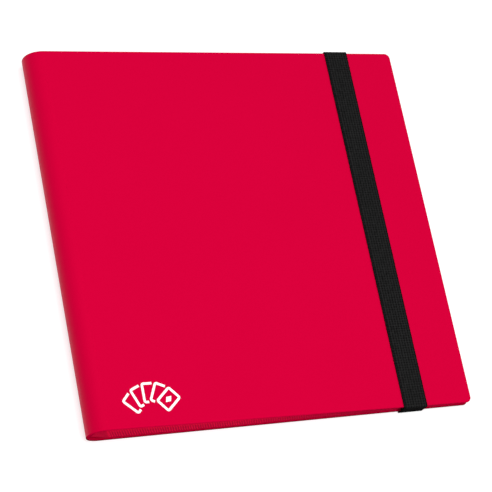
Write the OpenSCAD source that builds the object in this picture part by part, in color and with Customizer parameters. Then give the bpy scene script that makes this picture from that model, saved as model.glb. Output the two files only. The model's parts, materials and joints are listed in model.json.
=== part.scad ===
// Side-loading trading card binder: a one-piece plastic cover with a rounded
// spine, twenty pocket sheets on a welded binding, and an elastic strap.
// It lies closed on its back cover. X runs from the spine to the fore-edge,
// Y from the lower edge to the upper edge, and Z up from the table.

/* [Cover] */
// Width from the outside of the spine to the fore-edge
cover_w = 317; // [300:1:340]
// Height of the cover
cover_h = 305; // [305:1:330]
// Thickness of the cover sheet
cover_t = 1.0; // [0.8:0.1:1.2]
// Height of the rounded spine
spine_h = 26.4; // [24:0.2:34]
// Height of the front cover's outer face above the table at the fore-edge
fore_h = 9.0; // [8.8:0.1:14]
// Radius of the cover's fore-edge corners
corner_r = 4.4; // [2:0.2:12]

/* [Pocket sheets] */
// Number of pocket sheets
sheet_count = 20; // [8:2:20]
// Thickness of a sheet's coloured base
base_t = 0.12; // [0.1:0.01:0.12]
// Thickness of the clear film on each side of a sheet
film_t = 0.04; // [0.03:0.01:0.04]
// Pockets side by side on a sheet
pocket_cols = 4; // [3:1:4]
// Pockets one above the other on a sheet
pocket_rows = 3; // [2:1:3]
// Distance from one column of pockets to the next
col_pitch = 71; // [69:0.5:71]
// Distance from one row of pockets to the next
row_pitch = 98.5; // [95:0.5:98.5]
// Width of the welded border above and below the pockets
sheet_border = 3.5; // [1.5:0.1:3.5]

/* [Strap] */
// Width of the elastic strap
strap_w = 20.7; // [15:0.1:25]
// Thickness of the elastic strap
strap_t = 1.0; // [0.8:0.1:1.2]
// Distance from the strap to the fore-edge
strap_inset = 40.4; // [20:0.2:60]
// Distance from the cover's edge to the slot that the strap goes through
slot_inset = 12; // [8:0.5:20]

/* [Hidden] */
$fn = 96;
// Names of the repeated nodes
function two_digits(k) = k < 10 ? str("0", k) : str(k);
function sheet_node(k) = str("sheet_", two_digits(k));
function films_node(k) = str("films_", two_digits(k));

// The spine is half a tube, and the covers start where it ends
spine_r = spine_h / 2;
crease_x = -cover_w / 2 + spine_r;
crease_gap = 0.35;
fore_x = cover_w / 2;
// The back cover rises by the strap's thickness between the crease and a point just before
// the strap, so that the spine and the strap both touch the table
rise_gap = 5;
// The front cover slopes down to the fore-edge, because the pockets are empty
front_slope = (spine_h - fore_h) / (fore_x - crease_x);
function front_z(x) = spine_h - (x - crease_x) * front_slope;

// Strap, slots and the metal bars that hold its ends
strap_x = fore_x - strap_inset - strap_w;
strap_gap = 0.15;
tail_gap = 0.25;
slot_w = strap_w + 1;
slot_l = 1.6;
slot_y = cover_h / 2 - slot_inset;
crimp_t = 0.6;
crimp_l = 4.4;
crimp_over = 1.6;

// A sheet is its pockets, a margin at the binding, a narrow welded fore-edge
// and a border above and below
sheet_margin = 6;
sheet_edge = 1.5;
sheet_l = pocket_cols * col_pitch + sheet_margin + sheet_edge;
sheet_h = pocket_rows * row_pitch + 2 * sheet_border;
sheet_corner_r = 3;
film_slit = 2;
film_inset = 0.6;

// Each sheet turns about its own seam line. The seams stand in a row up the
// spine, and those in the middle are further from it than the outer ones.
seam_x = 3.5;
seam_step = 0.4;
seam_edge = 2.75;
seam_gap = 0.3;
seam_pitch = (spine_h - 2 * seam_edge) / (sheet_count - 1);
function seam_pos_x(k) = crease_x + seam_x + seam_step * min(k - 1, sheet_count - k);
function seam_pos_z(k) = seam_edge + seam_pitch * (k - 1);

// At the fore-edge the sheets lie close together between the covers
end_clear = 0.25;
first_end_z = strap_t + cover_t + crimp_t + end_clear;
last_end_z = front_z(seam_pos_x(sheet_count) + seam_gap + sheet_l) - cover_t - end_clear;
end_pitch = (last_end_z - first_end_z) / (sheet_count - 1);
function end_z(k) = first_end_z + end_pitch * (k - 1);
function sheet_tilt(k) = asin((end_z(k) - seam_pos_z(k)) / (sheet_l + seam_gap));

// The margins of the sheets are gathered and welded into a bar inside the spine
bar_x = crease_x - 8.5;
bar_pitch = 0.42;
bar_h = bar_pitch * (sheet_count + 2);
function bar_z(k) = spine_r + bar_pitch * (k - (sheet_count + 1) / 2);

// Extrudes a profile drawn in X and Z along Y, centred on Y = 0
module along_y(length) {
    translate([0, length / 2, 0])
        rotate([90, 0, 0])
            linear_extrude(height = length)
                children();
}

// What is cut off the two square corners at the fore-edge of a cover
module corner_waste() {
    for (side = [-1, 1])
        translate([fore_x - corner_r, side * (cover_h / 2 - corner_r), 0])
            difference() {
                translate([0, side > 0 ? 0 : -corner_r - 1, -1])
                    cube([corner_r + 1, corner_r + 1, spine_h + 2]);
                translate([0, 0, -2])
                    cylinder(h = spine_h + 4, r = corner_r);
            }
}

// Flat back panel, with its spine edge down on the table and two strap slots
module back_cover() {
    start_x = crease_x + crease_gap;
    rise_x = strap_x - rise_gap;
    color([0.80, 0.01, 0.22])
        difference() {
            along_y(cover_h)
                polygon([
                    [start_x, 0],
                    [rise_x, strap_t],
                    [fore_x, strap_t],
                    [fore_x, strap_t + cover_t],
                    [rise_x, strap_t + cover_t],
                    [start_x, cover_t]
                ]);
            corner_waste();
            for (side = [-1, 1])
                translate([strap_x + strap_w / 2, side * slot_y, strap_t + cover_t / 2])
                    cube([slot_w, slot_l, 2 * cover_t], center = true);
        }
}

// Rounded back of the binder, between the two creases
module spine() {
    color([0.80, 0.01, 0.22])
        along_y(cover_h)
            translate([crease_x, spine_r])
                difference() {
                    circle(r = spine_r);
                    circle(r = spine_r - cover_t);
                    translate([0, -spine_h])
                        square([spine_h, 2 * spine_h]);
                }
}

// Flat front panel, sloping down from the spine to the fore-edge
module front_cover() {
    start_x = crease_x + crease_gap;
    color([0.85, 0.01, 0.24])
        difference() {
            along_y(cover_h)
                polygon([
                    [start_x, front_z(start_x) - cover_t],
                    [fore_x, fore_h - cover_t],
                    [fore_x, fore_h],
                    [start_x, front_z(start_x)]
                ]);
            corner_waste();
        }
}

// One sheet's margin, from the welded bar to the sheet's seam line
module margin_leaf(k) {
    start = [bar_x - 0.2, bar_z(k)];
    end = [seam_pos_x(k) - seam_gap, seam_pos_z(k)];
    run = end - start;
    half = [-run[1], run[0]] / norm(run) * base_t / 2;
    polygon([start + half, start - half, end - half, end + half]);
}

// Bar welded to the inside of the spine, and the margins that fan out from it
module page_binding() {
    color([0.62, 0.02, 0.17])
        along_y(sheet_h) {
            intersection() {
                translate([crease_x, spine_r])
                    circle(r = spine_r - cover_t);
                translate([crease_x - spine_r, spine_r - bar_h / 2])
                    square([bar_x - crease_x + spine_r, bar_h]);
            }
            for (k = [1 : sheet_count])
                margin_leaf(k);
        }
}

// Places what is drawn along +X from a seam line onto sheet k
module on_sheet(k) {
    translate([seam_pos_x(k), 0, seam_pos_z(k)])
        rotate([0, -sheet_tilt(k), 0])
            translate([seam_gap, 0, 0])
                children();
}

// Coloured base of one pocket sheet, with rounded corners at the fore-edge
module pocket_sheet(k) {
    color([0.72, 0.02, 0.20])
        on_sheet(k)
            translate([0, 0, -base_t / 2])
                linear_extrude(height = base_t)
                    union() {
                        translate([0, -sheet_h / 2])
                            square([sheet_l - sheet_corner_r, sheet_h]);
                        translate([0, sheet_corner_r - sheet_h / 2])
                            square([sheet_l, sheet_h - 2 * sheet_corner_r]);
                        for (side = [-1, 1])
                            translate([sheet_l - sheet_corner_r, side * (sheet_h / 2 - sheet_corner_r)])
                                circle(r = sheet_corner_r);
                    }
}

// Clear film on both sides of one sheet: a strip for each column of pockets.
// The slit before each strip is the mouth of its pockets.
module pocket_films(k) {
    strip_l = col_pitch - film_slit;
    strip_h = sheet_h - 2 * film_inset - 2 * sheet_corner_r;
    color([0.93, 0.90, 0.92, 0.4])
        on_sheet(k)
            for (face_z = [base_t / 2, -base_t / 2 - film_t])
                for (col = [0 : pocket_cols - 1])
                    translate([sheet_margin + film_slit + col * col_pitch, -strip_h / 2, face_z])
                        cube([strip_l, strip_h, film_t]);
}

// Stretch of strap that is free to move: over the front and down both edges
module elastic_strap() {
    reach = cover_h + 2 * (strap_gap + strap_t);
    far_x = strap_x + strap_w;
    color([0.12, 0.12, 0.12]) {
        along_y(reach)
            polygon([
                [strap_x, front_z(strap_x) + strap_gap],
                [far_x, front_z(far_x) + strap_gap],
                [far_x, front_z(far_x) + strap_gap + strap_t],
                [strap_x, front_z(strap_x) + strap_gap + strap_t]
            ]);
        for (side = [-1, 1])
            translate([0, side * (reach - strap_t) / 2, 0])
                along_y(strap_t)
                    polygon([
                        [strap_x, strap_t + tail_gap],
                        [far_x, strap_t + tail_gap],
                        [far_x, front_z(far_x) + strap_gap + strap_t / 2],
                        [strap_x, front_z(strap_x) + strap_gap + strap_t / 2]
                    ]);
    }
}

// Fixed end of the strap: under the back cover and up into its slot
module strap_tail(side) {
    outer_y = cover_h / 2 + strap_gap + strap_t;
    inner_y = slot_y - strap_t / 2;
    color([0.10, 0.10, 0.10])
        mirror([0, side < 0 ? 1 : 0, 0]) {
            translate([strap_x, inner_y, 0])
                cube([strap_w, outer_y - inner_y, strap_t]);
            translate([strap_x, inner_y, strap_t / 2])
                cube([strap_w, strap_t, strap_t / 2 + cover_t]);
        }
}

// Metal bar pressed onto the end of the strap, inside the back cover
module strap_crimp(side) {
    bar_l = strap_w + 2 * crimp_over;
    end_x = (bar_l - crimp_l) / 2;
    color([0.70, 0.71, 0.73])
        translate([strap_x + strap_w / 2, side * slot_y, strap_t + cover_t])
            linear_extrude(height = crimp_t) {
                square([2 * end_x, crimp_l], center = true);
                for (end = [-1, 1])
                    translate([end * end_x, 0])
                        circle(d = crimp_l);
            }
}

back_cover();
spine();
front_cover();
page_binding();
elastic_strap();
strap_tail(1);  // strap_tail_top
strap_tail(-1);  // strap_tail_bottom
strap_crimp(1);  // strap_crimp_top
strap_crimp(-1);  // strap_crimp_bottom
for (k = [1 : sheet_count]) {
    pocket_sheet(k);
    pocket_films(k);
}
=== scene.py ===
import itertools
import json
import math

import bpy
from mathutils import Matrix, Vector


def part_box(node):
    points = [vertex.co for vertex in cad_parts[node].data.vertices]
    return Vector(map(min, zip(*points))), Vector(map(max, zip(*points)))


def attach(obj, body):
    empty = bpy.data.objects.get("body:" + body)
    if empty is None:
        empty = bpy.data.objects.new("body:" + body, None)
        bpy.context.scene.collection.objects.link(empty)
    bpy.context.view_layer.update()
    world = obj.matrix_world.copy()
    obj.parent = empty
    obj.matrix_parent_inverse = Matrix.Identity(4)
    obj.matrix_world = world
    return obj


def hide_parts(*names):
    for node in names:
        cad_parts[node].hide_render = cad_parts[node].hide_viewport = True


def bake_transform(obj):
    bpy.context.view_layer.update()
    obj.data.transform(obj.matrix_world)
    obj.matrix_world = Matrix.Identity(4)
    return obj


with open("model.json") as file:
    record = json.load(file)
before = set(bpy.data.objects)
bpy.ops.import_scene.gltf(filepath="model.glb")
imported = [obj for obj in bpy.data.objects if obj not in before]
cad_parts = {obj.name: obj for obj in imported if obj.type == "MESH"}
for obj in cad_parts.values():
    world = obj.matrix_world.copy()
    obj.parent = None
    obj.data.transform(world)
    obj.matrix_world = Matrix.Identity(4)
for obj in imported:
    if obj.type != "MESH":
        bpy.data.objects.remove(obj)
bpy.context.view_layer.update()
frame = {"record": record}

# Everything below is in millimetres, and becomes metres where a mesh or a light is made.
# X runs from the spine to the fore-edge, Y to the upper edge and Z up from the table.
MM = 0.001


def box_mm(node):
    low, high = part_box(node)
    return Vector(low) / MM, Vector(high) / MM


# -------------------- sizes from the frame
SPINE_LOW, SPINE_HIGH = box_mm("spine")
FRONT_LOW, FRONT_HIGH = box_mm("front_cover")
STRAP_LOW, STRAP_HIGH = box_mm("elastic_strap")
TAIL_LOW, TAIL_HIGH = box_mm("strap_tail_top")
CRIMP_LOW, CRIMP_HIGH = box_mm("strap_crimp_top")
BINDING_HIGH = box_mm("page_binding")[1]
FILMS_HIGH = box_mm("films_01")[1]
JOINTS = {joint["name"]: joint for joint in frame["record"]["behaviour"]["joints"]}
SHEET_COUNT = sum(name.startswith("leaf_") for name in JOINTS)

COVER_T = 1.0
STRAP_T = 1.0
STRAP_W = STRAP_HIGH.x - STRAP_LOW.x
CREASE_X = SPINE_HIGH.x
SPINE_R = (SPINE_HIGH.z - SPINE_LOW.z) / 2
MID_Z = SPINE_LOW.z + SPINE_R
FORE_X = FRONT_HIGH.x
HALF_H = SPINE_HIGH.y
FORE_TOP_Z = FRONT_LOW.z + COVER_T
FRONT_SLOPE = (SPINE_HIGH.z - FORE_TOP_Z) / (FORE_X - CREASE_X)
CORNER_R = 4.4
SLOT_Y = (CRIMP_LOW.y + CRIMP_HIGH.y) / 2
# The back cover has risen by the strap's thickness where this much is left to the strap
RISE_GAP = 5.0
RISE_END = STRAP_LOW.x - RISE_GAP


def front_z(x):
    """Height of the front cover's outer face."""
    return SPINE_HIGH.z - (x - CREASE_X) * FRONT_SLOPE


# -------------------- camera
# Angles in degrees. The azimuth turns from -Y, and the roll turns the picture.
CAMERA_AZIMUTH = -48.909
CAMERA_ELEVATION = 59.948
CAMERA_ROLL = 41.365
CAMERA_DISTANCE = 1538.19
CAMERA_AIM = Vector((-5.05, -12.11, 12.0))
CAMERA_LENS = 145.45
CAMERA_SENSOR = 36.0


def make_camera():
    azimuth = math.radians(CAMERA_AZIMUTH)
    elevation = math.radians(CAMERA_ELEVATION)
    roll = math.radians(CAMERA_ROLL)
    flat = math.cos(elevation)
    back = Vector((math.sin(azimuth) * flat, -math.cos(azimuth) * flat, math.sin(elevation)))
    right = Vector((0, 0, 1)).cross(back).normalized()
    up = back.cross(right)
    rolled_right = right * math.cos(roll) + up * math.sin(roll)
    rolled_up = up * math.cos(roll) - right * math.sin(roll)
    turn = Matrix((rolled_right, rolled_up, back)).transposed().to_4x4()
    data = bpy.data.cameras.new("camera")
    data.lens = CAMERA_LENS
    data.sensor_width = CAMERA_SENSOR
    camera = bpy.data.objects.new("camera", data)
    camera.matrix_world = Matrix.Translation((CAMERA_AIM + back * CAMERA_DISTANCE) * MM) @ turn
    bpy.context.collection.objects.link(camera)
    bpy.context.scene.camera = camera


# -------------------- node helpers
# Nearly all of a noise's values lie between these two
NOISE_LOW = 0.3
NOISE_HIGH = 0.7


def add_node(tree, kind, inputs=None, **settings):
    """Adds a node. A socket among the inputs is linked, and anything else is set."""
    node = tree.nodes.new(kind)
    for key, value in settings.items():
        setattr(node, key, value)
    for key, value in (inputs or {}).items():
        if isinstance(value, bpy.types.NodeSocket):
            tree.links.new(value, node.inputs[key])
        else:
            node.inputs[key].default_value = value
    return node


def new_material(name, **values):
    """A material with one Principled shader, whose constant sockets are set here."""
    material = bpy.data.materials.new(name)
    material.use_nodes = True
    shader = material.node_tree.nodes["Principled BSDF"]
    for key, value in values.items():
        shader.inputs[key.replace("_", " ")].default_value = value
    return material, material.node_tree, shader


def connect(tree, shader, color, roughness, normal):
    """Links the three sockets that vary over a surface."""
    tree.links.new(color, shader.inputs["Base Color"])
    tree.links.new(roughness, shader.inputs["Roughness"])
    tree.links.new(normal, shader.inputs["Normal"])


def object_coords(tree, stretch=(1, 1, 1)):
    """Object coordinates in metres, scaled along each axis."""
    coords = add_node(tree, "ShaderNodeTexCoord")
    mapping = add_node(tree, "ShaderNodeMapping", {"Vector": coords.outputs["Object"], "Scale": stretch})
    return mapping.outputs["Vector"]


def split_xyz(tree, vector):
    return add_node(tree, "ShaderNodeSeparateXYZ", {"Vector": vector}).outputs


def place_coords(tree):
    """The two places that make_piece gives each point, in millimetres."""
    split = split_xyz(tree, add_node(tree, "ShaderNodeUVMap", uv_map="place").outputs["UV"])
    return split["X"], split["Y"]


def noise(tree, vector, size, detail=2.0, roughness=0.5):
    """Noise whose blotches are about size across."""
    inputs = {"Vector": vector, "Scale": 1 / (size * MM), "Detail": detail, "Roughness": roughness}
    return add_node(tree, "ShaderNodeTexNoise", inputs).outputs[0]


def math_node(tree, operation, first, second=0.0):
    return add_node(tree, "ShaderNodeMath", {0: first, 1: second}, operation=operation).outputs[0]


def multiply(tree, first, *others):
    """Product of any number of values."""
    for other in others:
        first = math_node(tree, "MULTIPLY", first, other)
    return first


def wave(tree, value, period, phase=0.0):
    """Sine wave from -1 to 1. phase is in radians."""
    turn = math_node(tree, "ADD", multiply(tree, value, 2 * math.pi / period), phase)
    return math_node(tree, "SINE", turn)


def map_range(tree, value, low, high, new_low, new_high):
    names = ("From Min", "From Max", "To Min", "To Max")
    inputs = dict(zip(names, (low, high, new_low, new_high)))
    return add_node(tree, "ShaderNodeMapRange", {"Value": value, **inputs}).outputs[0]


def map_noise(tree, value, new_low, new_high):
    return map_range(tree, value, NOISE_LOW, NOISE_HIGH, new_low, new_high)


def mix_color(tree, factor, first, second):
    """Blends two colours by factor. Each is three numbers or a colour socket."""
    node = add_node(tree, "ShaderNodeMix", {0: factor}, data_type="RGBA")
    for index, color in ((6, first), (7, second)):
        if isinstance(color, bpy.types.NodeSocket):
            tree.links.new(color, node.inputs[index])
        else:
            node.inputs[index].default_value = (*color, 1.0)
    return node.outputs[2]


def bump(tree, height, strength, depth, normal=None):
    inputs = {"Height": height, "Strength": strength, "Distance": depth * MM}
    if normal is not None:
        inputs["Normal"] = normal
    return add_node(tree, "ShaderNodeBump", inputs).outputs["Normal"]


# -------------------- plastic materials
def cover_material():
    """Satin polypropylene sheet, coloured through, with a fine grain and a slight waviness."""
    material, tree, shader = new_material(
        "cover_polypropylene", IOR=1.46, Specular_IOR_Level=0.065, Specular_Tint=(1.0, 0.03, 0.12, 1))
    where = object_coords(tree)
    blotches = noise(tree, where, size=70, detail=3)
    grain = noise(tree, where, size=0.45, detail=3, roughness=0.6)
    patches = noise(tree, where, size=25)
    color = mix_color(tree, blotches, (0.525, 0.0, 0.0318), (0.545, 0.0, 0.0340))
    fine, coarse = map_noise(tree, grain, 0.36, 0.44), map_noise(tree, patches, -0.03, 0.03)
    roughness = math_node(tree, "ADD", fine, coarse)
    wavy = bump(tree, noise(tree, where, size=55, detail=1), strength=0.25, depth=0.35)
    connect(tree, shader, color, roughness, bump(tree, grain, strength=0.25, depth=0.03, normal=wavy))
    return material


def cut_edge_material(name, dark, light):
    """Edge of a die-cut plastic sheet: matt, with fine lines left by the blade."""
    material, tree, shader = new_material(name, Specular_IOR_Level=0.0)
    lines = noise(tree, object_coords(tree, stretch=(1, 1, 0.15)), size=0.3, detail=3)
    patches = noise(tree, object_coords(tree), size=8)
    color = mix_color(tree, multiply(tree, lines, patches), dark, light)
    scored = bump(tree, lines, strength=0.3, depth=0.02)
    connect(tree, shader, color, map_noise(tree, lines, 0.6, 0.75), scored)
    return material


# The seal's ridges cross the upper and lower borders of a sheet. They start just after the seam, and are
# faint on the upper sheets: full up to one share of the stack's height, and faint from another.
BORDER_LOW = FILMS_HIGH.y + 0.25
BORDER_BLUR = 0.3
RIDGE_PITCH = 1.95
RIDGE_START = 2.0
RIDGE_BLUR = 0.5
RIDGE_WANDER = 0.9
# The fading of the ridges' dark colour on the upper sheets is painted light: the upper part of the stack's
# face gets more light.
RIDGE_FULL = 0.5
RIDGE_FAINT = 0.75
FAINT_SHARE = 0.2
SEAM_MARK = 0.9
# Painted shade: the borders are darker at the margin behind the seam, and towards the fore-edge, where the
# sheets lie close and keep the light out
MARGIN_SHADE = 0.6
MARGIN_BLUR = 1.0
FAR_START = 100.0
FAR_END = 215.0


def ridge_nodes(tree, onward):
    """Height of the seal's ridges from 0 to 1, fading on the upper sheets as painted light. onward is the
    distance past the seam.
    """
    where = object_coords(tree)
    wander = map_noise(tree, noise(tree, where, size=9), -RIDGE_WANDER, RIDGE_WANDER)
    ridges = map_range(tree, wave(tree, onward, RIDGE_PITCH, wander), -0.6, 0.6, 0, 1)
    started = map_range(tree, onward, RIDGE_START, RIDGE_START + RIDGE_BLUR, 0, 1)
    place = split_xyz(tree, where)
    stack_top = map_range(tree, place["X"], CREASE_X * MM, FORE_X * MM, SPINE_HIGH.z * MM, FORE_TOP_Z * MM)
    height = math_node(tree, "DIVIDE", place["Z"], stack_top)
    clear = map_range(tree, height, RIDGE_FULL, RIDGE_FAINT, 1, FAINT_SHARE)
    return multiply(tree, ridges, started, clear)


def border_painted_shade_nodes(tree, onward):
    """How much painted shade darkens a border, from 0 to 1."""
    margin = map_range(tree, onward, -MARGIN_BLUR, MARGIN_BLUR, MARGIN_SHADE, 0)
    far = map_range(tree, onward, FAR_START, FAR_END, 0, 1)
    return math_node(tree, "MAXIMUM", margin, far)


def sheet_material():
    """Thin coloured polypropylene with a soft gloss. Its upper and lower borders carry the seal's ridges."""
    material, tree, shader = new_material(
        "sheet_polypropylene", IOR=1.46, Specular_IOR_Level=0.15, Specular_Tint=(1.0, 0.05, 0.15, 1))
    where = object_coords(tree)
    onward, along = place_coords(tree)
    from_middle = math_node(tree, "ABSOLUTE", along)
    border = map_range(tree, from_middle, BORDER_LOW, BORDER_LOW + BORDER_BLUR, 0, 1)
    ridges = multiply(tree, border, ridge_nodes(tree, onward))
    grain = noise(tree, where, size=0.6, detail=2)
    plain = mix_color(tree, noise(tree, where, size=40, detail=3), (0.55, 0.0, 0.036), (0.60, 0.0, 0.040))
    # Painted light: the border's plain colour is lighter than the sheet's own, making up for the light that
    # the stack's narrow gaps keep out. The ridges are darker.
    seal_and_painted_light = mix_color(tree, ridges, (0.76, 0.005, 0.056), (0.42, 0.004, 0.032))
    shaded = mix_color(tree, border_painted_shade_nodes(tree, onward), seal_and_painted_light, (0.40, 0.003, 0.032))
    ridged = bump(tree, ridges, strength=0.8, depth=0.12)
    connect(tree, shader, mix_color(tree, border, plain, shaded), map_noise(tree, grain, 0.30, 0.40),
            bump(tree, grain, strength=0.2, depth=0.02, normal=ridged))
    return material


def sheet_edge_material():
    """Edge of a pocket sheet: matt, dark in the dents of the seal's ridges and at the seam."""
    material, tree, shader = new_material("sheet_cut_edge", Specular_IOR_Level=0.0)
    onward, _ = place_coords(tree)
    grain = noise(tree, object_coords(tree), size=1.4, detail=2)
    dents = multiply(tree, ridge_nodes(tree, onward), map_noise(tree, grain, 0.5, 1.0))
    near_seam = map_range(tree, math_node(tree, "ABSOLUTE", onward), 0.0, SEAM_MARK, 1, 0)
    marks = math_node(tree, "MAXIMUM", dents, near_seam)
    # Painted light: the edge's plain colour is far lighter than the sheet's own, making up for the light that
    # the stack's narrow gaps keep out. The dents and the seam are darker.
    marks_and_painted_light = mix_color(tree, marks, (0.95, 0.005, 0.074), (0.58, 0.004, 0.046))
    shaded = mix_color(tree, border_painted_shade_nodes(tree, onward), marks_and_painted_light, (0.50, 0.004, 0.040))
    dented = bump(tree, dents, strength=0.3, depth=0.05)
    connect(tree, shader, shaded, map_noise(tree, grain, 0.6, 0.75), dented)
    return material


def film_material():
    """Clear glossy film, with faint scuffs and a slight unevenness."""
    material, tree, shader = new_material(
        "pocket_film", IOR=1.49, Alpha=0.1, Coat_Weight=1.0, Coat_Roughness=0.06)
    where = object_coords(tree)
    tint = noise(tree, where, size=30, detail=2)
    scuffs = noise(tree, object_coords(tree, stretch=(1, 14, 14)), size=18, detail=4, roughness=0.7)
    color = mix_color(tree, tint, (0.10, 0.09, 0.095), (0.20, 0.18, 0.19))
    wavy = bump(tree, noise(tree, where, size=24, detail=1), strength=0.5, depth=0.5)
    connect(tree, shader, color, map_range(tree, scuffs, 0.45, 0.8, 0.07, 0.24), wavy)
    return material


# -------------------- other materials
WARP_PITCH = 0.575
WEFT_PITCH = 0.5
# Threads are raised in pairs, and the rows of pairs stand out less than the columns
PAIR = 2
ROW_SHARE = 0.75
# The strap is dark along its selvedges, between two distances from its edge, and has painted shade where it
# wraps
RIM_SHADE = 0.35
RIM_START = 0.6
RIM_END = 1.9
WRAP_PAINTED_SHADE = 0.45
WRAP_START = 9.0
WRAP_END = 12.0


def thread_waves(tree, across, along, threads):
    """One wave across the strap and one along it. Each half wave is so many threads wide."""
    return wave(tree, across, 2 * threads * WARP_PITCH), wave(tree, along, 2 * threads * WEFT_PITCH)


def strap_rim_and_painted_wrap_shade(tree, across, along):
    """Darkness along the strap's selvedges, and painted shade where it wraps the edge of the binder, as a
    factor.
    """
    from_edge = math_node(tree, "MINIMUM", across, math_node(tree, "SUBTRACT", STRAP_W, across))
    rim = map_range(tree, from_edge, RIM_START, RIM_END, RIM_SHADE, 1.0)
    painted_shade_at_wrap = map_range(tree, along, WRAP_START, WRAP_END, WRAP_PAINTED_SHADE, 1.0)
    return multiply(tree, rim, painted_shade_at_wrap)


def strap_material():
    """Woven elastic: fine over-and-under threads, lighter on their crowns, with threads raised in pairs."""
    material, tree, shader = new_material("woven_elastic", Specular_IOR_Level=0.0)
    where = object_coords(tree)
    across, along = place_coords(tree)
    weave = map_range(tree, multiply(tree, *thread_waves(tree, across, along, 1)), -1, 1, 0, 1)
    columns, rows = thread_waves(tree, across, along, PAIR)
    pairs = math_node(tree, "ADD", columns, multiply(tree, rows, ROW_SHARE))
    raised = map_range(tree, pairs, -1.2, 1.2, 0.3, 1.8)
    uneven = map_noise(tree, noise(tree, where, size=1.4), 0.5, 1.5)
    light = multiply(tree, weave, raised, uneven, strap_rim_and_painted_wrap_shade(tree, across, along))
    color = mix_color(tree, light, (0.0020, 0.0020, 0.0020), (0.0196, 0.0196, 0.0195))
    fuzz = noise(tree, where, size=0.35, detail=3, roughness=0.7)
    height = math_node(tree, "ADD", weave, multiply(tree, fuzz, 0.35))
    connect(tree, shader, color, map_range(tree, fuzz, 0.2, 0.8, 0.62, 0.9), bump(tree, height, 0.6, 0.09))
    return material


def crimp_material():
    """Rolled steel bar, brushed along its length."""
    material, tree, shader = new_material("brushed_steel", Metallic=1.0)
    streaks = noise(tree, object_coords(tree, stretch=(0.05, 1, 1)), size=0.25, detail=4, roughness=0.65)
    color = mix_color(tree, streaks, (0.50, 0.51, 0.53), (0.68, 0.69, 0.71))
    roughness = map_range(tree, streaks, 0.25, 0.75, 0.24, 0.42)
    connect(tree, shader, color, roughness, bump(tree, streaks, strength=0.3, depth=0.02))
    return material


def ink_material():
    """White screen ink, slightly uneven."""
    material, tree, shader = new_material("white_ink", Specular_IOR_Level=0.3)
    where = object_coords(tree)
    spots = noise(tree, where, size=1.2, detail=3)
    color = mix_color(tree, spots, (0.86, 0.86, 0.86), (0.93, 0.93, 0.93))
    rough = bump(tree, noise(tree, where, size=0.3), strength=0.15, depth=0.02)
    connect(tree, shader, color, map_noise(tree, spots, 0.45, 0.6), rough)
    return material


def floor_material():
    """Pale frosted table top, softly lit from below so that shadows stay faint."""
    material, tree, shader = new_material(
        "light_table", Specular_IOR_Level=0.05, Roughness=0.9,
        Emission_Color=(1, 1, 1, 1), Emission_Strength=0.66)
    frost = noise(tree, object_coords(tree), size=120, detail=2)
    color = mix_color(tree, frost, (0.44, 0.44, 0.44), (0.46, 0.46, 0.46))
    tree.links.new(color, shader.inputs["Base Color"])
    return material


# -------------------- mesh helpers
SHARP_ANGLE = math.radians(50)
QUARTER = math.pi / 2


def spread(low, high, count):
    """count + 1 evenly spaced values from low to high."""
    return [low + (high - low) * index / count for index in range(count + 1)]


def hump(turns):
    """1 at whole turns, and 0 halfway between them."""
    return 0.5 + 0.5 * math.cos(2 * math.pi * turns)


def rounded_rectangle(half_u, half_v, radius, steps):
    """Once round a rectangle about its middle, with so many steps round each corner."""
    loop = []
    for side_u, side_v, first in ((1, 1, 0), (-1, 1, 90), (-1, -1, 180), (1, -1, 270)):
        corner = Vector((side_u * (half_u - radius), side_v * (half_v - radius)))
        for angle in spread(math.radians(first), math.radians(first + 90), steps):
            loop.append(corner + Vector((math.cos(angle), math.sin(angle))) * radius)
    return loop


def make_piece(name, points, faces, material, places=None):
    """A smooth mesh object from points in millimetres. places gives each point's place on the material."""
    mesh = bpy.data.meshes.new(name)
    mesh.from_pydata([Vector(point) * MM for point in points], [], faces)
    mesh.materials.append(material)
    mesh.polygons.foreach_set("use_smooth", [True] * len(mesh.polygons))
    if places is not None:
        layer = mesh.uv_layers.new(name="place")
        for loop in mesh.loops:
            layer.data[loop.index].uv = places[loop.vertex_index]
    mesh.update()
    mark_sharp_edges(mesh)
    obj = bpy.data.objects.new(name, mesh)
    bpy.context.collection.objects.link(obj)
    return obj


def mark_sharp_edges(mesh):
    """Shading breaks where two faces meet at more than SHARP_ANGLE."""
    normals_at = {}
    for polygon in mesh.polygons:
        for key in polygon.edge_keys:
            normals_at.setdefault(key, []).append(polygon.normal)
    sharp = []
    for edge in mesh.edges:
        normals = normals_at.get(edge.key, [])
        sharp.append(len(normals) == 2 and normals[0].dot(normals[1]) < math.cos(SHARP_ANGLE))
    mesh.attributes.new("sharp_edge", "BOOLEAN", "EDGE").data.foreach_set("value", sharp)


def tube_faces(stations, count, first=0):
    """Faces of a closed tube. Each station has count points, numbered on from first. Both ends are capped."""
    faces = []
    last = first + (stations - 1) * count
    for start in range(first, last, count):
        for index in range(count):
            following = (index + 1) % count
            faces.append((start + index, start + following, start + count + following, start + count + index))
    faces.append(tuple(reversed(range(first, first + count))))
    faces.append(tuple(range(last, last + count)))
    return faces


def flipped(faces):
    return [tuple(reversed(face)) for face in faces]


def rectangle_loop(first_row, last_row, first_column, last_column):
    """Once round a rectangle of a grid, as (row, column)."""
    loop = [(first_row, j) for j in range(first_column, last_column)]
    loop += [(i, last_column) for i in range(first_row, last_row)]
    loop += [(last_row, j) for j in range(last_column, first_column, -1)]
    loop += [(i, first_column) for i in range(last_row, first_row, -1)]
    return loop


def is_inside(hole, i, j):
    """Whether a hole, given like a rectangle_loop, takes the face that starts at row i and column j."""
    first_row, last_row, first_column, last_column = hole
    return first_row <= i < last_row and first_column <= j < last_column


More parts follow.
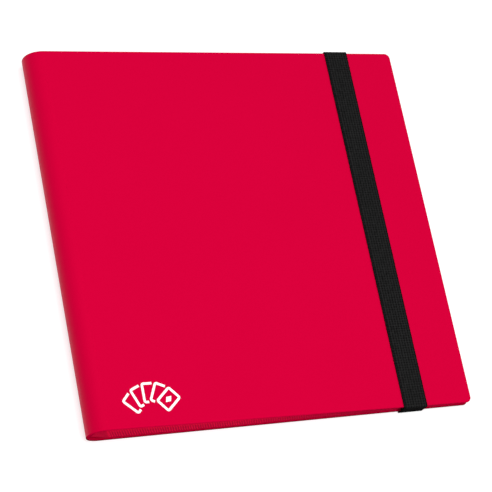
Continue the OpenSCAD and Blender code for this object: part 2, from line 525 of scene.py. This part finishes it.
class Slab:
    """Point numbers and faces of a top grid, and of a bottom grid that comes after it."""

    def __init__(self, rows, columns):
        self.rows = rows
        self.columns = columns
        self.border = rectangle_loop(0, rows - 1, 0, columns - 1)

    def top(self, i, j):
        return i * self.columns + j

    def bottom(self, i, j):
        return (self.rows + i) * self.columns + j

    def faces(self, holes=()):
        """The faces of both grids, except in the holes."""
        faces = []
        for i in range(self.rows - 1):
            for j in range(self.columns - 1):
                if any(is_inside(hole, i, j) for hole in holes):
                    continue
                first, *others = [(i, j), (i + 1, j), (i + 1, j + 1), (i, j + 1)]
                faces.append([self.top(*place) for place in (first, *others)])
                faces.append([self.bottom(*place) for place in (first, *reversed(others))])
        return faces

    def walls(self, loop):
        """Faces that join the top to the bottom along a closed loop."""
        faces = []
        for here, following in zip(loop, loop[1:] + loop[:1]):
            faces.append((self.top(*here), self.top(*following), self.bottom(*following), self.bottom(*here)))
        return faces


# -------------------- sheet builder
# Steps round a cut edge, and its squareness: 1 is a half circle, and less is squarer
COVER_ROUNDING = (6, 0.85)
LEAF_ROUNDING = (2, 1.0)


def path_normals(path):
    """The direction to the left of a path in X and Z, at each of its points."""
    last = len(path) - 1
    normals = []
    for index in range(len(path)):
        before, after = path[max(index - 1, 0)], path[min(index + 1, last)]
        run = Vector((after[0] - before[0], 0, after[1] - before[1])).normalized()
        normals.append(Vector((-run.z, 0, run.x)))
    return normals


def path_distances(path, zero=0):
    """Distance along a path of each of its points, from the point whose index is zero."""
    distances = [0.0]
    for before, after in zip(path, path[1:]):
        distances.append(distances[-1] + math.dist(before, after))
    return [distance - distances[zero] for distance in distances]


def rounded(value, squareness):
    """A sine or cosine bent towards the corner of a square."""
    return math.copysign(abs(value) ** squareness, value)


def rounded_half_width(half_h, corner_x, corner_r, thickness):
    """Half width of a sheet's middle grid as a function of X. It has rounded corners from corner_x on."""
    radius = corner_r - thickness / 2

    def half_width(x):
        past = min(max(x - corner_x, 0.0), radius)
        return half_h - corner_r + math.sqrt(radius ** 2 - past ** 2)

    return half_width


def border_directions(slab, grid, normals, flat_start):
    """Where the sheet ends at each border point: straight out of its edge, and nowhere at a flat start."""
    directions = []
    for index, (i, j) in enumerate(slab.border):
        before, after = slab.border[index - 1], slab.border[(index + 1) % len(slab.border)]
        run = grid[after[0]][after[1]] - grid[before[0]][before[1]]
        direction = normals[i].cross(run).normalized()
        if flat_start and i == 0:
            side = {0: -1, slab.columns - 1: 1}.get(j, 0)
            direction = Vector((0, side, 0))
        directions.append(direction)
    return directions


def add_rim(points, slab, grid, normals, directions, half_t, rounding):
    """Adds the points of the rounded cut edge. Gives its faces, and the grid row of each new point."""
    steps, squareness = rounding
    rings, rows = [], []
    for (i, j), direction in zip(slab.border, directions):
        ring = [slab.top(i, j)]
        for angle in spread(0, math.pi, steps)[1:-1]:
            out = direction * half_t * rounded(math.sin(angle), squareness)
            up = normals[i] * half_t * rounded(math.cos(angle), squareness)
            ring.append(len(points))
            points.append(grid[i][j] + out + up)
            rows.append(i)
        rings.append([*ring, slab.bottom(i, j)])
    faces = []
    for ring, following in zip(rings, rings[1:] + rings[:1]):
        for step in range(steps):
            faces.append((ring[step], following[step], following[step + 1], ring[step + 1]))
    return faces, rows


def build_sheet(name, path, half_width, thickness, shares, materials, rounding,
                flat_start=False, holes=(), onward=None):
    """A closed sheet. path is its middle line in X and Z, half_width(x) is the middle grid's half width,
    and shares are the columns as shares of it. The cut edge stands half the thickness outside the grid.
    materials are the faces' and the cut edge's. onward is each row's place on them, if they ask for it."""
    half_t = thickness / 2
    normals = path_normals(path)
    grid = [[Vector((x, share * half_width(x), z)) for share in shares] for x, z in path]
    slab = Slab(len(path), len(shares))
    points = [point + normal * half_t for normal, row in zip(normals, grid) for point in row]
    points += [point - normal * half_t for normal, row in zip(normals, grid) for point in row]
    rows = [i for i in range(slab.rows) for _ in shares] * 2
    faces = slab.faces(holes)
    face_count = len(faces)
    directions = border_directions(slab, grid, normals, flat_start)
    rim_faces, rim_rows = add_rim(points, slab, grid, normals, directions, half_t, rounding)
    faces += rim_faces
    for hole in holes:
        faces += slab.walls(rectangle_loop(*hole)[::-1])
    places = None
    if onward is not None:
        places = [(onward[i], point.y) for i, point in zip(rows + rim_rows, points)]
    sheet = make_piece(name, points, faces, materials[0], places)
    sheet.data.materials.append(materials[1])
    for polygon in sheet.data.polygons[face_count:]:
        polygon.material_index = 1
    return sheet


# -------------------- covers
# A squareness, as above
SPINE_FULLNESS = 0.91
SPINE_STEPS = 30
FIRST_TURN = 0.002
PANEL_STEPS = 36
CORNER_STEPS = 14
COVER_COLUMNS = 36
# Width of the last column at both long edges
EDGE_BAND = 0.7
# The slots for the strap: their clearance in X, and half their width in Y
SLOT_CLEAR = 0.5
SLOT_HALF = 0.8
COVER_HALF = HALF_H - COVER_T / 2
COVER_HALF_WIDTH = rounded_half_width(HALF_H, FORE_X - CORNER_R, CORNER_R, COVER_T)


def spine_quarter(side):
    """Middle line of the upper or lower half of the spine, from its middle to the crease.
    It starts with a very short step, so that both halves shade alike where they meet."""
    radius = SPINE_R - COVER_T / 2
    line = []
    for angle in [0.0, FIRST_TURN, *spread(0, QUARTER, SPINE_STEPS)[1:]]:
        x = CREASE_X - radius * rounded(math.cos(angle), SPINE_FULLNESS)
        line.append((x, MID_Z + side * radius * rounded(math.sin(angle), SPINE_FULLNESS)))
    return line


def panel_xs(extra=()):
    """X of a panel's rows: even over the panel, close together round the corners and at the edge."""
    corner_x = FORE_X - CORNER_R
    reach = CORNER_R - COVER_T / 2
    rows = spread(CREASE_X, corner_x, PANEL_STEPS)[1:]
    rows += [corner_x + reach * math.sin(angle) for angle in spread(0, QUARTER, CORNER_STEPS)[1:]]
    rows.append(FORE_X - COVER_T / 2 - EDGE_BAND / 4)
    return sorted({*rows, *extra})


def cover_shares(extra=()):
    """Columns of a cover as shares of COVER_HALF, with a narrow band along both long edges."""
    inner = 1 - EDGE_BAND / COVER_HALF
    return sorted({-1.0, *spread(-inner, inner, COVER_COLUMNS), 1.0, *extra})


def make_front_cover(materials):
    line = spine_quarter(1) + [(x, front_z(x) - COVER_T / 2) for x in panel_xs()]
    cover = build_sheet("cover_front_half", line, COVER_HALF_WIDTH, COVER_T, cover_shares(), materials,
                        COVER_ROUNDING, flat_start=True)
    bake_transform(cover)
    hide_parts("front_cover", "spine")


def back_rise(x):
    """Height of the back cover's outer face, which rises by the strap's thickness before the strap."""
    return STRAP_T * min(max((x - CREASE_X) / (RISE_END - CREASE_X), 0.0), 1.0)


def make_back_cover(materials):
    slot_xs = (TAIL_LOW.x - SLOT_CLEAR, TAIL_HIGH.x + SLOT_CLEAR)
    slot_ys = [side * (SLOT_Y + offset) for side in (-1, 1) for offset in (-SLOT_HALF, SLOT_HALF)]
    slot_shares = [y / COVER_HALF for y in slot_ys]
    line = spine_quarter(-1)
    xs = panel_xs([*slot_xs, RISE_END])
    rows = [len(line) + xs.index(x) for x in slot_xs]
    line += [(x, back_rise(x) + COVER_T / 2) for x in xs]
    shares = cover_shares(slot_shares)
    columns = sorted(shares.index(share) for share in slot_shares)
    holes = [(*rows, *columns[:2]), (*rows, *columns[2:])]
    cover = build_sheet("cover_back_half", line, COVER_HALF_WIDTH, COVER_T, shares, materials,
                        COVER_ROUNDING, flat_start=True, holes=holes)
    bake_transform(cover)
    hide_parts("back_cover")


# -------------------- pocket sheets
BASE_T = 0.12
SHEET_CORNER_R = 3.0
SHEET_CORNER_STEPS = 6
SHEET_STEPS = 8
SHEET_COLUMNS = 6
# Each margin runs from its seam into the bar, where the margins lie on each other
MARGIN_STEPS = 5
BAR_X = CREASE_X - 8.5
BAR_PITCH = 0.42
BAR_GRIP = 0.2
# The soft bend reaches this far to both sides of the seam
SEAM_BEND = 2.0
BEND_STEPS = 8
SEAM_ROW = MARGIN_STEPS + BEND_STEPS // 2
# The borders' ridges and shades are measured from a column, which leans towards the spine as it rises
SEAM_COLUMN_X = CREASE_X + 7.6
SEAM_COLUMN_LEAN = 0.41


def sheet_place(k):
    """Seam line, far end and direction of sheet k, in X and Z."""
    seam = Vector(JOINTS[f"leaf_{k:02d}_turn"]["pos_m"]) / MM
    low, high = box_mm(f"sheet_{k:02d}")
    rises = high.z - seam.z > seam.z - low.z
    end_z = high.z - BASE_T / 2 if rises else low.z + BASE_T / 2
    seam_point, end_point = Vector((seam.x, seam.z)), Vector((high.x, end_z))
    return seam_point, end_point, (end_point - seam_point).normalized()


def sheet_path(k):
    """Middle line of sheet k, from the binding through a soft bend at the seam to the fore-edge.
    The two ends of the bend come with it."""
    seam, end, onward = sheet_place(k)
    bar_z = MID_Z + BAR_PITCH * (k - (SHEET_COUNT + 1) / 2)
    start = Vector((BAR_X - BAR_GRIP, bar_z))
    inward = (seam - start).normalized()
    bend_in, bend_out = seam - inward * SEAM_BEND, seam + onward * SEAM_BEND
    points = [start.lerp(bend_in, share) for share in spread(0, 1, MARGIN_STEPS)[:-1]]
    for share in spread(0, 1, BEND_STEPS):
        points.append(bend_in.lerp(seam, share).lerp(seam.lerp(bend_out, share), share))
    corner = end - onward * SHEET_CORNER_R
    points += [bend_out.lerp(corner, share) for share in spread(0, 1, SHEET_STEPS)[1:]]
    reach = SHEET_CORNER_R - BASE_T / 2
    for angle in spread(0, QUARTER, SHEET_CORNER_STEPS)[1:]:
        points.append(corner + onward * reach * math.sin(angle))
    return [tuple(point) for point in points], bend_in, bend_out


def seam_distances(path):
    """How far each row of a sheet is past the leaning column, measured along the sheet."""
    start = path[SEAM_ROW][0] - SEAM_COLUMN_X
    distances = path_distances(path, SEAM_ROW)
    return [start + distance + z * SEAM_COLUMN_LEAN for distance, (_, z) in zip(distances, path)]


def make_sheet(k, materials):
    path, bend_in, bend_out = sheet_path(k)
    half_h = box_mm(f"sheet_{k:02d}")[1].y
    corner_x = path[-1][0] - (SHEET_CORNER_R - BASE_T / 2)
    half_width = rounded_half_width(half_h, corner_x, SHEET_CORNER_R, BASE_T)
    sheet = build_sheet(f"leaf_{k:02d}", path, half_width, BASE_T, spread(-1, 1, SHEET_COLUMNS), materials,
                        LEAF_ROUNDING, onward=seam_distances(path))
    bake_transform(sheet)
    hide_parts(f"sheet_{k:02d}")


# -------------------- pocket films
FILM_T = 0.04
# The inner face stands off the sheet by this much, so that the two don't coincide
FILM_LIFT = 0.012
FILM_CORNER_R = 2.0
FILM_CORNER_STEPS = 4
# Along a sheet: a gap at the seam, a margin, the pockets, which each start with a slit, and an edge
SEAM_GAP = 0.3
SHEET_MARGIN = 6.0
FILM_SLIT = 2.0
SHEET_EDGE = 1.5
POCKET_COLUMNS = 4
POCKET_ROWS = 3
WELD_W = 1.2


def pocket_outlines(sheet_l, low_y, high_y):
    """Outlines of a sheet's pockets, with a weld between the rows. u runs along the sheet, and v along Y."""
    pitch_u = (sheet_l - SEAM_GAP - SHEET_MARGIN - SHEET_EDGE) / POCKET_COLUMNS
    pitch_v = (high_y - low_y) / POCKET_ROWS
    outlines = []
    for column in range(POCKET_COLUMNS):
        u_low = SEAM_GAP + SHEET_MARGIN + FILM_SLIT + column * pitch_u
        for row in range(POCKET_ROWS):
            v_low = low_y + row * pitch_v + (WELD_W / 2 if row else 0)
            v_high = low_y + (row + 1) * pitch_v - (WELD_W / 2 if row < POCKET_ROWS - 1 else 0)
            half_u, half_v = (pitch_u - FILM_SLIT) / 2, (v_high - v_low) / 2
            middle = Vector((u_low + half_u, v_low + half_v))
            loop = rounded_rectangle(half_u, half_v, FILM_CORNER_R, FILM_CORNER_STEPS)
            outlines.append([middle + point for point in loop])
    return outlines


def make_films(k, material):
    """The clear films on both faces of sheet k: one plate for each pocket, with the welds between them."""
    seam, end, onward = sheet_place(k)
    low, high = box_mm(f"films_{k:02d}")
    upward = Vector((-onward.y, onward.x))
    inner, outer = BASE_T / 2 + FILM_LIFT, BASE_T / 2 + FILM_T
    points, faces = [], []
    for outline in pocket_outlines((end - seam).length, low.y, high.y):
        for heights in ((inner, outer), (-outer, -inner)):
            faces += tube_faces(len(heights), len(outline), len(points))
            for height in heights:
                for u, v in outline:
                    place = seam + onward * u + upward * height
                    points.append((place.x, v, place.y))
    films = make_piece(f"pocket_films_{k:02d}", points, faces, material)
    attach(films, f"leaf_{k:02d}")
    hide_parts(f"films_{k:02d}")


# -------------------- binding bar
BAR_LAYERS = SHEET_COUNT + 2
BAR_HALF_H = BAR_PITCH * BAR_LAYERS / 2
LAYER_STEPS = 4
LAYER_DIP = 0.12
BAR_ROUND_STEPS = 12
# The bar's round side sinks this far into the spine that it is welded to
BAR_SINK = 0.15
BAR_CHAMFER = 0.3
BAR_BEVEL = 0.14
BAR_CORE = Vector((BAR_X - 1.5, MID_Z))


def bar_outline():
    """The bar's section in X and Z: ridged by the layers on its open side, round on the spine side."""
    outline = []
    for step, rise in enumerate(spread(-BAR_HALF_H, BAR_HALF_H, BAR_LAYERS * LAYER_STEPS)):
        outline.append(Vector((BAR_X - LAYER_DIP * hump(step / LAYER_STEPS), MID_Z + rise)))
    for rise in spread(BAR_HALF_H, -BAR_HALF_H, BAR_ROUND_STEPS):
        reach = math.sqrt((SPINE_R - COVER_T) ** 2 - rise ** 2)
        outline.append(Vector((CREASE_X - reach - BAR_SINK, MID_Z + rise)))
    return outline


def make_binding(material):
    """The welded stack of margins inside the spine, with bevelled ends."""
    outline = bar_outline()
    half_l = BINDING_HIGH.y
    stations = ((-half_l, BAR_BEVEL), (-half_l + BAR_CHAMFER, 0.0),
                (half_l - BAR_CHAMFER, 0.0), (half_l, BAR_BEVEL))
    points = []
    for y, inset in stations:
        for place in outline:
            x, z = place + (BAR_CORE - place).normalized() * inset
            points.append((x, y, z))
    bar = make_piece("binding_bar", points, flipped(tube_faces(len(stations), len(outline))), material)
    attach(bar, "spine")
    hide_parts("page_binding")


# -------------------- elastic strap
STRAP_HALF_T = STRAP_T / 2
STRAP_GAP = 0.15
STRAP_SIDE_Y = STRAP_HIGH.y - STRAP_HALF_T
STRAP_EDGE_R = 0.55
STRAP_EDGE_STEPS = 5
# Bend radius of the middle line, over the front cover's edge and at the bends of the fixed ends
STRAP_BEND = 0.85
TAIL_BEND = 0.6
# Lengthwise ribs between two flat selvedges, and a groove that divides them
SELVEDGE = 2.3
RIB_DEPTH = 0.07
RIB_COUNT = 14
RIB_POINTS = 6
GROOVE_W = 0.35
GROOVE_DEPTH = RIB_DEPTH * 1.6
GROOVE_STATIONS = (0.45, 0.3, 0.1)
# Height at which the free strap meets its fixed ends, and how far those stop below the crimp bar
PART_Z = STRAP_LOW.z + 0.05
TAIL_SHORT = 0.02
SIDE_STEPS = 6
FRONT_STEPS = 64
UNDER_STEPS = 6
TAIL_STEPS = 2
STRAP_BEND_STEPS = 8
TAIL_BEND_STEPS = 6


def strap_half_height(across):
    """Half thickness of the strap: lengthwise ribs between two flat selvedges, and round edges."""
    from_edge = min(across, STRAP_W - across)
    edge = min(from_edge / STRAP_EDGE_R, 1.0)
    height = STRAP_HALF_T * math.sqrt(max(1 - (1 - edge) ** 2, 0.0))
    if from_edge < SELVEDGE - GROOVE_W:
        return height
    if from_edge < SELVEDGE:
        return height - GROOVE_DEPTH
    turn = (across - SELVEDGE) / (STRAP_W - 2 * SELVEDGE) * RIB_COUNT
    return height - RIB_DEPTH * hump(turn)


def strap_section():
    """The strap's cross-section as (across, height), once round."""
    near = [STRAP_EDGE_R * (1 - math.cos(angle)) for angle in spread(0, QUARTER, STRAP_EDGE_STEPS)]
    near += [SELVEDGE - before for before in GROOVE_STATIONS]
    stations = near + spread(SELVEDGE, STRAP_W - SELVEDGE, RIB_COUNT * RIB_POINTS)
    stations += [STRAP_W - value for value in reversed(near)]
    outside = [(value, strap_half_height(value)) for value in stations]
    inside = [(value, -height) for value, height in reversed(outside[1:-1])]
    return outside + inside


def strap_top_z(x):
    """Height of the strap's middle line over the front cover."""
    return front_z(x) + STRAP_GAP + STRAP_HALF_T


def straight_points(start, end, outward, steps):
    """Points of a straight run in Y and Z, each with the outward direction."""
    return [(Vector(start).lerp(Vector(end), share), Vector(outward)) for share in spread(0, 1, steps)]


def arc_points(centre, radius, first, last, steps):
    """Points in Y and Z round a centre, from one angle in degrees to another, with the outward direction."""
    made = []
    for angle in spread(math.radians(first), math.radians(last), steps):
        outward = Vector((math.cos(angle), math.sin(angle)))
        made.append((centre + outward * radius, outward))
    return made


def free_strap_path(x):
    """Middle line over one half of the binder at x, from the lower bend to the middle of the front."""
    top = strap_top_z(x)
    bend = Vector((STRAP_SIDE_Y - STRAP_BEND, top - STRAP_BEND))
    path = straight_points((STRAP_SIDE_Y, PART_Z), (STRAP_SIDE_Y, bend.y), (1, 0), SIDE_STEPS)[:-1]
    path += arc_points(bend, STRAP_BEND, 0, 90, STRAP_BEND_STEPS)
    path += straight_points((bend.x, top), (0, top), (0, 1), FRONT_STEPS)[1:]
    return path


def tail_path(_):
    """Middle line of a fixed end, the same at every X: down out of the slot, under the back cover
    and round its edge."""
    under_z = STRAP_HALF_T
    inner = Vector((SLOT_Y + TAIL_BEND, under_z + TAIL_BEND))
    outer = Vector((STRAP_SIDE_Y - TAIL_BEND, under_z + TAIL_BEND))
    path = straight_points((SLOT_Y, TAIL_HIGH.z - TAIL_SHORT), (SLOT_Y, inner.y), (-1, 0), TAIL_STEPS)[:-1]
    path += arc_points(inner, TAIL_BEND, 180, 270, TAIL_BEND_STEPS)
    path += straight_points((inner.x, under_z), (outer.x, under_z), (0, -1), UNDER_STEPS)[1:-1]
    path += arc_points(outer, TAIL_BEND, -90, 0, TAIL_BEND_STEPS)
    path.append((Vector((STRAP_SIDE_Y, PART_Z)), Vector((1, 0))))
    return path


def build_strap(name, path_at, side, material):
    """Sweeps the section along a path that depends on X. side is 1 at the upper edge, -1 at the lower."""
    section = strap_section()
    paths = [path_at(STRAP_LOW.x + across) for across, _ in section]
    lengths = path_distances([middle for middle, _ in paths[0]])
    points, places = [], []
    for station, length in enumerate(lengths):
        for (across, height), path in zip(section, paths):
            middle, outward = path[station]
            place = middle + outward * height
            points.append((STRAP_LOW.x + across, side * place.x, place.y))
            places.append((across, length))
    faces = tube_faces(len(lengths), len(section))
    if side > 0:
        faces = flipped(faces)
    return make_piece(name, points, faces, material, places)


def make_strap_halves(material):
    for side, word in ((1, "upper"), (-1, "lower")):
        strap = build_strap(f"elastic_strap_{word}", free_strap_path, side, material)
        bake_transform(strap)
        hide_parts("elastic_strap")


def make_strap_tails(material):
    for side, word, node in ((1, "upper", "strap_tail_top"), (-1, "lower", "strap_tail_bottom")):
        tail = build_strap(f"strap_end_{word}", tail_path, side, material)
        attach(tail, "binder_back")
        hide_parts(node)


# -------------------- crimp bars
CRIMP_EDGE = 0.28
CRIMP_DENTS = 5
DENT_DEPTH = 0.16
DENT_HALF = 1.3
CRIMP_STEPS = 72
CRIMP_END_STEPS = 10
CRIMP_RIM_STEPS = 4
CRIMP_FLAT_STEPS = 8
# Half width that is left at the very ends
CRIMP_TIP_HALF = 0.02


def crimp_height(x, from_edge, thickness):
    """Top of a bar above its underside: round along its edge, with a row of dents pressed into it."""
    edge = min(from_edge / CRIMP_EDGE, 1.0)
    height = thickness - CRIMP_EDGE * (1 - math.sqrt(max(1 - (1 - edge) ** 2, 0.0)))
    pitch = STRAP_W / CRIMP_DENTS
    dent = round(x / pitch)
    near = abs(x - dent * pitch)
    if near < DENT_HALF and abs(dent) <= CRIMP_DENTS // 2:
        height -= DENT_DEPTH * edge * hump(near / DENT_HALF / 2)
    return height


def crimp_rows(straight, radius):
    """X of a bar's rows from its middle: even on the straight, close together at the round ends."""
    ends = [straight + radius * math.sin(angle) for angle in spread(0, QUARTER, CRIMP_END_STEPS)]
    return [-x for x in reversed(ends)] + spread(-straight, straight, CRIMP_STEPS)[1:-1] + ends


def crimp_shares(radius):
    """Columns of a bar as shares of its half width, close together at its round edge."""
    angles = spread(0, QUARTER, CRIMP_RIM_STEPS)
    rim = [1 - CRIMP_EDGE / radius * (1 - math.sin(angle)) for angle in angles]
    return [-value for value in reversed(rim)] + spread(-rim[0], rim[0], CRIMP_FLAT_STEPS)[1:-1] + rim


def make_crimp(word, node, material):
    low, high = box_mm(node)
    middle = (low + high) / 2
    radius = (high.y - low.y) / 2
    straight = (high.x - low.x) / 2 - radius
    rows, shares = crimp_rows(straight, radius), crimp_shares(radius)
    tops, bottoms = [], []
    for x in rows:
        past = max(abs(x) - straight, 0.0)
        half_w = math.sqrt(max(radius ** 2 - past ** 2, CRIMP_TIP_HALF ** 2))
        for share in shares:
            from_edge = max(radius - math.hypot(past, share * half_w), 0.0)
            place = Vector((middle.x + x, middle.y + share * half_w, low.z))
            bottoms.append(place)
            tops.append(place + Vector((0, 0, crimp_height(x, from_edge, high.z - low.z))))
    slab = Slab(len(rows), len(shares))
    crimp = make_piece(f"crimp_bar_{word}", tops + bottoms, slab.faces() + slab.walls(slab.border), material)
    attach(crimp, "binder_back")
    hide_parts(node)


# -------------------- printed emblem
EMBLEM_CENTRE = Vector((-108.5, -126.5))
CARD_W = 13.0
CARD_L = 16.0
CARD_R = 2.2
CARD_CORNER_STEPS = 6
CARD_STEP = 0.35
# Half the size of the rectangle that a card's rounded corners turn about
CORE_HALF_W = CARD_W / 2 - CARD_R
CORE_HALF_L = CARD_L / 2 - CARD_R
LINE_W = 1.9
CARD_GAP = 1.1
FAN_ANGLES = (48, 24, 0, -24, -48)
# The cards turn about a point below them, at this distance from their middles
FAN_REACH = Vector((0, 10.0 + CARD_L / 2))
DIAMOND_HALF_W = 2.3
DIAMOND_HALF_L = 3.4
DIAMOND_STEPS = 12
# Share of its length that a diamond's corners keep
DIAMOND_TIP = 0.02
INK_T = 0.03


def card_frame(angle):
    """Centre and turn of one card of the fan."""
    turn = Matrix.Rotation(math.radians(angle), 2)
    return turn @ FAN_REACH - FAN_REACH, turn


def card_distance(point, angle):
    """Signed distance from a card's outline, negative inside."""
    centre, turn = card_frame(angle)
    offset = turn.transposed() @ (point - centre)
    past_u, past_v = abs(offset.x) - CORE_HALF_W, abs(offset.y) - CORE_HALF_L
    outside = math.hypot(max(past_u, 0.0), max(past_v, 0.0))
    return outside + min(max(past_u, past_v), 0.0) - CARD_R


def card_outline():
    """A card's outline about its centre, with points at most CARD_STEP apart."""
    loop = rounded_rectangle(CARD_W / 2, CARD_L / 2, CARD_R, CARD_CORNER_STEPS)
    dense = []
    for point, following in zip(loop, loop[1:] + loop[:1]):
        pieces = max(1, math.ceil((following - point).length / CARD_STEP))
        dense += [point.lerp(following, share) for share in spread(0, 1, pieces)[:-1]]
    return dense


def clamp(value, limit):
    return min(max(value, -limit), limit)


def card_pairs(angle):
    """One card's outline as pairs of points, on the outer and the inner side of its line."""
    centre, turn = card_frame(angle)
    pairs = []
    for outer in card_outline():
        core = Vector((clamp(outer.x, CORE_HALF_W), clamp(outer.y, CORE_HALF_L)))
        inner = outer + (core - outer).normalized() * LINE_W
        pairs.append((centre + turn @ outer, centre + turn @ inner))
    return pairs


def visible_runs(order):
    """The stretches of one card's outline that the cards in front of it leave visible."""
    pairs = card_pairs(FAN_ANGLES[order])
    in_front = FAN_ANGLES[order + 1:]
    clear = [all(card_distance(place, other) > CARD_GAP for other in in_front for place in pair)
             for pair in pairs]
    if all(clear):
        return [pairs + pairs[:1]]
    first = next(index for index, free in enumerate(clear) if free and not clear[index - 1])
    items = list(zip(clear, pairs))
    groups = itertools.groupby(items[first:] + items[:first], key=lambda item: item[0])
    runs = [[pair for _, pair in group] for free, group in groups if free]
    return [run for run in runs if len(run) > 2]


def diamond_run():
    """A solid diamond in the middle of the front card, as pairs from its left to its right corner."""
    centre, turn = card_frame(FAN_ANGLES[-1])
    run = []
    for share in spread(-1, 1, DIAMOND_STEPS):
        u = share * DIAMOND_HALF_W
        v = DIAMOND_HALF_L * max(1 - abs(share), DIAMOND_TIP)
        run.append((centre + turn @ Vector((u, -v)), centre + turn @ Vector((u, v))))
    return run


def make_emblem(material):
    """A fan of card outlines printed on the front cover, as thin bands."""
    runs = [run for order in range(len(FAN_ANGLES)) for run in visible_runs(order)]
    points, faces = [], []
    for run in [*runs, diamond_run()]:
        faces += tube_faces(len(run), 4, len(points))
        for outer, inner in run:
            for place, rise in ((outer, INK_T), (outer, -INK_T), (inner, -INK_T), (inner, INK_T)):
                x, y = place + EMBLEM_CENTRE
                points.append((x, y, front_z(x) + rise))
    emblem = make_piece("card_fan_print", points, faces, material)
    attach(emblem, "front_cover")


# -------------------- studio
FLOOR_HALF = 6000.0
FLOOR_Z = -0.02
WORLD_COLOR = (0.98, 0.99, 1.0, 1)
WORLD_STRENGTH = 0.36


def make_floor():
    corners = [(x * FLOOR_HALF, y * FLOOR_HALF, FLOOR_Z) for x, y in ((-1, -1), (1, -1), (1, 1), (-1, 1))]
    floor = make_piece("studio_floor", corners, [(0, 1, 2, 3)], floor_material())


def add_softbox(name, place, size, power):
    """A square area light that shines on the origin. Millimetres, and power in watts."""
    data = bpy.data.lights.new(name, "AREA")
    data.shape = "SQUARE"
    data.size = size * MM
    data.energy = power
    light = bpy.data.objects.new(name, data)
    light.location = Vector(place) * MM
    light.rotation_mode = "QUATERNION"
    light.rotation_quaternion = (-Vector(place)).to_track_quat("-Z", "Y")
    light.visible_camera = False
    bpy.context.collection.objects.link(light)


def make_studio():
    make_floor()
    world = bpy.data.worlds.new("studio")
    bpy.context.scene.world = world
    world.use_nodes = True
    background = world.node_tree.nodes["Background"]
    background.inputs["Color"].default_value = WORLD_COLOR
    background.inputs["Strength"].default_value = WORLD_STRENGTH
    add_softbox("key", place=(-150, 0, 1900), size=1300, power=34)
    add_softbox("fill", place=(700, -1200, 1300), size=1000, power=8)
    bpy.context.scene.view_settings.view_transform = "Standard"
    bpy.context.scene.view_settings.look = "None"


# -------------------- assembly
def make_binder():
    cover = cover_material()
    front_edge = cut_edge_material("front_cut_edge", (0.45, 0.0, 0.029), (0.56, 0.0, 0.036))
    # The back cover's cut edge is far darker than the front's. This is painted shade, for the edge that faces
    # the table and lies in its contact shadow.
    back_edge_painted_shade = cut_edge_material("back_cut_edge_painted_shade", (0.16, 0.0, 0.011), (0.24, 0.0, 0.016))
    sheet = (sheet_material(), sheet_edge_material())
    film = film_material()
    strap = strap_material()
    steel = crimp_material()
    make_front_cover((cover, front_edge))
    make_back_cover((cover, back_edge_painted_shade))
    # The welded bar's colour is darkened as painted shade, for the shade inside the spine's open end.
    make_binding(cut_edge_material("binding_weld_painted_shade", (0.34, 0.0, 0.023), (0.44, 0.0, 0.030)))
    for k in range(1, SHEET_COUNT + 1):
        make_sheet(k, sheet)
        make_films(k, film)
    make_strap_halves(strap)
    make_strap_tails(strap)
    make_crimp("upper", "strap_crimp_top", steel)
    make_crimp("lower", "strap_crimp_bottom", steel)
    make_emblem(ink_material())


make_camera()
make_studio()
make_binder()
